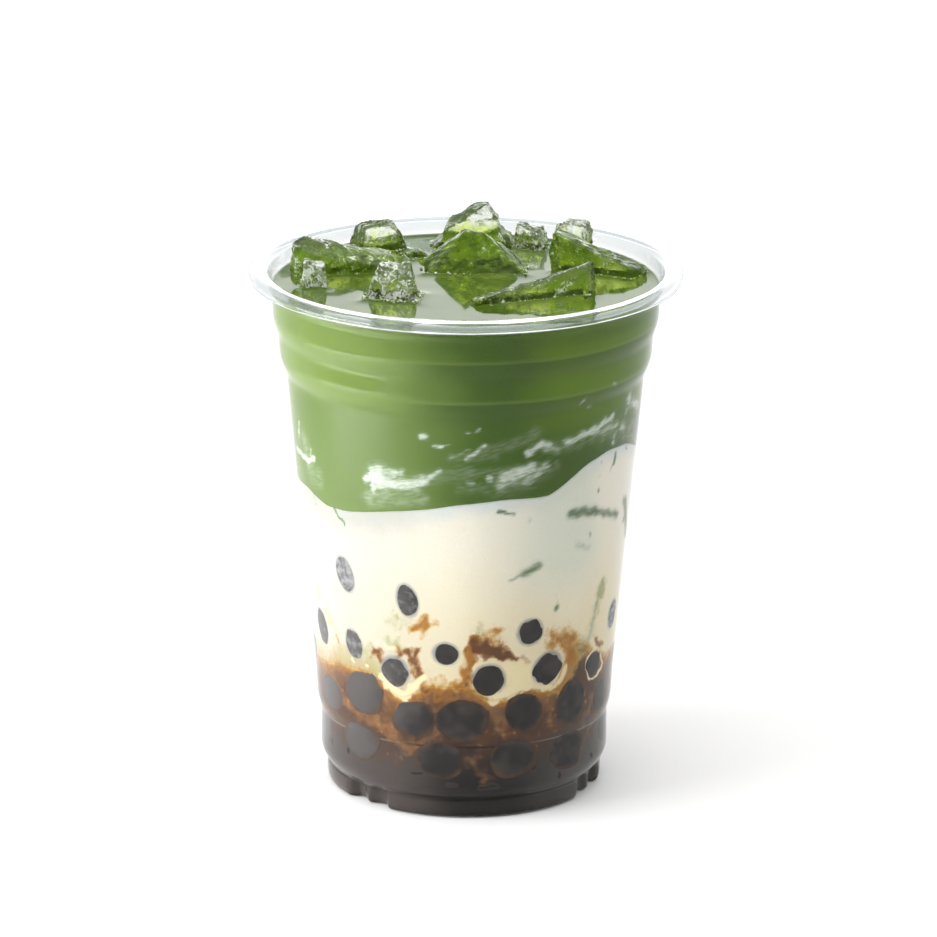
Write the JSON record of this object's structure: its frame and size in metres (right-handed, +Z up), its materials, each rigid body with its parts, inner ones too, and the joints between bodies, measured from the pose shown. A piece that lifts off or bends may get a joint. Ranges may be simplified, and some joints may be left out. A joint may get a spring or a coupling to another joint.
{
  "type": "matcha latte",
  "caption": "Iced matcha latte: green matcha over milk over brown sugar syrup and tapioca pearls, with broken ice, in a clear plastic cup.",
  "frame": {"origin": "centre of the foot's underside, on the surface that the cup stands on", "axes": "+Z up along the cup's axis; the side shown in the picture faces -Y, with +X to its right"},
  "size_m": [0.098, 0.098, 0.1275],
  "materials": {
    "cup_plastic": "thin clear plastic, glossy",
    "matcha": "opaque green drink, wet surface",
    "milk": "opaque cream white milk",
    "syrup": "orange-brown sugar syrup mixed with milk",
    "tapioca": "dark brown cooked pearls in syrup",
    "ice": "clear broken ice, tinted by the matcha round it"
  },
  "bodies": {
    "root": {"cup": "cup_plastic", "matcha": "matcha", "milk": "milk", "syrup": "syrup", "tapioca_pearls": "tapioca", "ice_left_wedge": "ice", "ice_left_stub": "ice", "ice_front_left": "ice", "ice_back_left": "ice", "ice_back_peak": "ice", "ice_back_right": "ice", "ice_centre": "ice", "ice_small": "ice", "ice_right_block": "ice", "ice_right_slab": "ice", "ice_front_right": "ice"}
  },
  "joints": []
}
